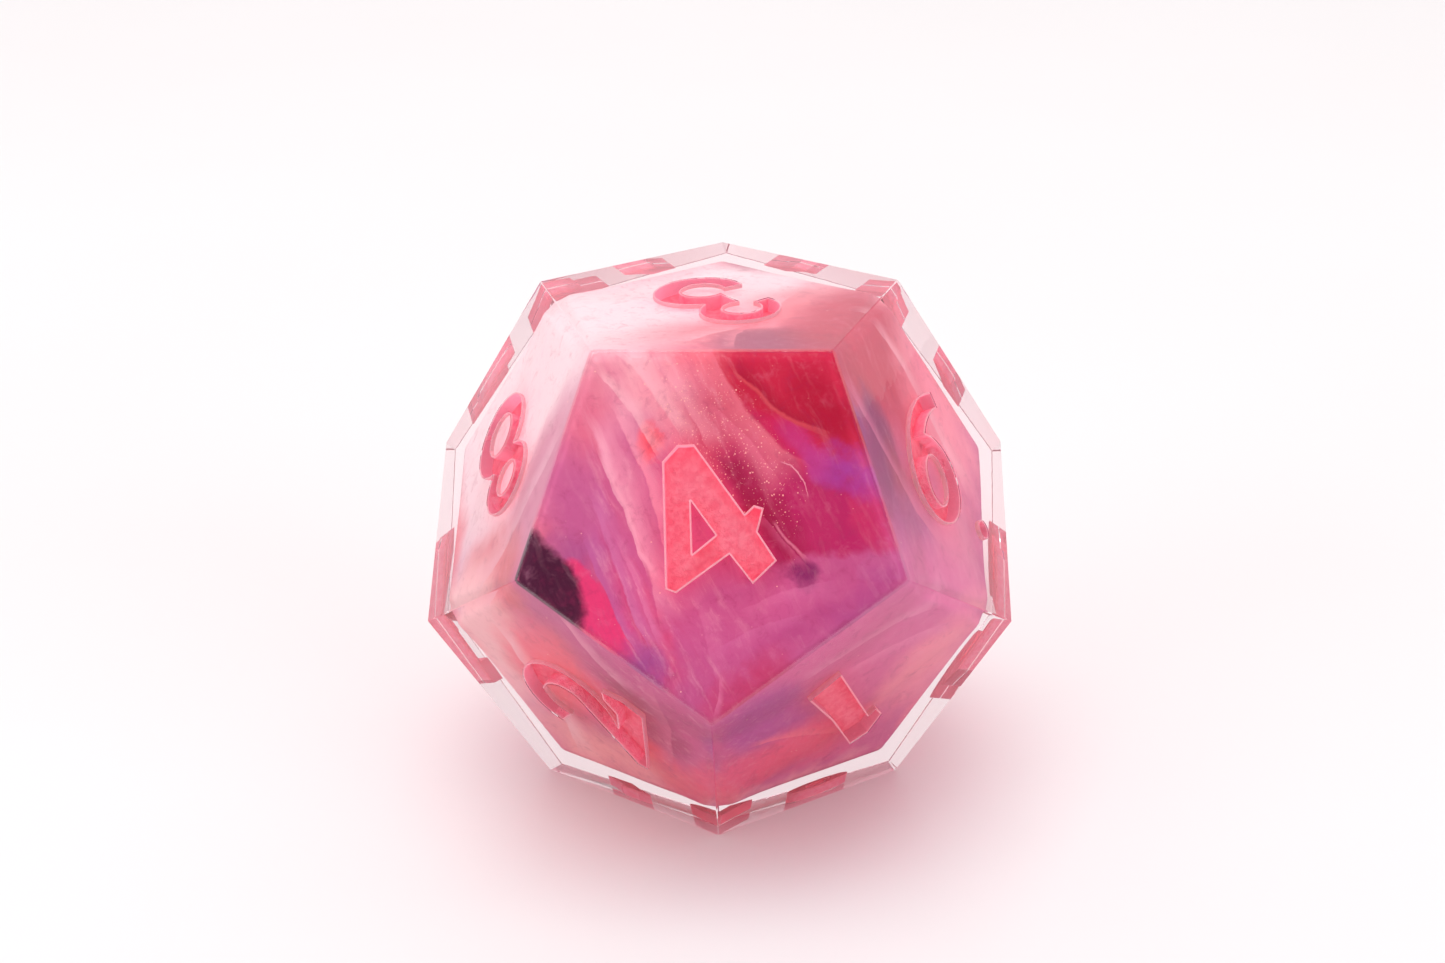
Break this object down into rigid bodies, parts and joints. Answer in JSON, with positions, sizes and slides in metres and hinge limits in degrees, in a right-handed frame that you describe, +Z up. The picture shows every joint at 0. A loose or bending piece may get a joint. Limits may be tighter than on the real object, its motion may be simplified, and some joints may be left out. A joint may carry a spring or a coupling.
{
  "type": "polyhedral die",
  "caption": "Sharp-edged dodecahedral die in clear resin around swirled pink, crimson and violet resin, with an engraved, paint-filled numeral on each face.",
  "frame": {"origin": "centre of the face that the die rests on, which is the face numbered 10", "axes": "+Z up, through the face numbered 3; -Y towards the side where the face numbered 4 is; +X towards the side where the face numbered 6 is"},
  "size_m": [0.0224, 0.0234, 0.019],
  "materials": {
    "clear_resin": "clear, polished",
    "mauve_resin": "pearl swirl",
    "coral_resin": "pearl swirl",
    "crimson_resin": "pearl swirl",
    "violet_resin": "pearl swirl",
    "magenta_resin": "pearl swirl",
    "plum_resin": "pearl swirl",
    "numeral_paint": "matt, brushed on"
  },
  "bodies": {
    "root": {"clear_shell": "clear_resin", "mauve_pour": "mauve_resin", "coral_pour": "coral_resin", "crimson_pour": "crimson_resin", "violet_pour": "violet_resin", "magenta_pour": "magenta_resin", "plum_pour": "plum_resin", "numeral_1": "numeral_paint", "numeral_2": "numeral_paint", "numeral_3": "numeral_paint", "numeral_4": "numeral_paint", "numeral_5": "numeral_paint", "numeral_6": "numeral_paint", "numeral_7": "numeral_paint", "numeral_8": "numeral_paint", "numeral_9": "numeral_paint", "numeral_10": "numeral_paint", "numeral_11": "numeral_paint", "numeral_12": "numeral_paint", "dot_6": "numeral_paint", "dot_9": "numeral_paint"}
  },
  "joints": []
}
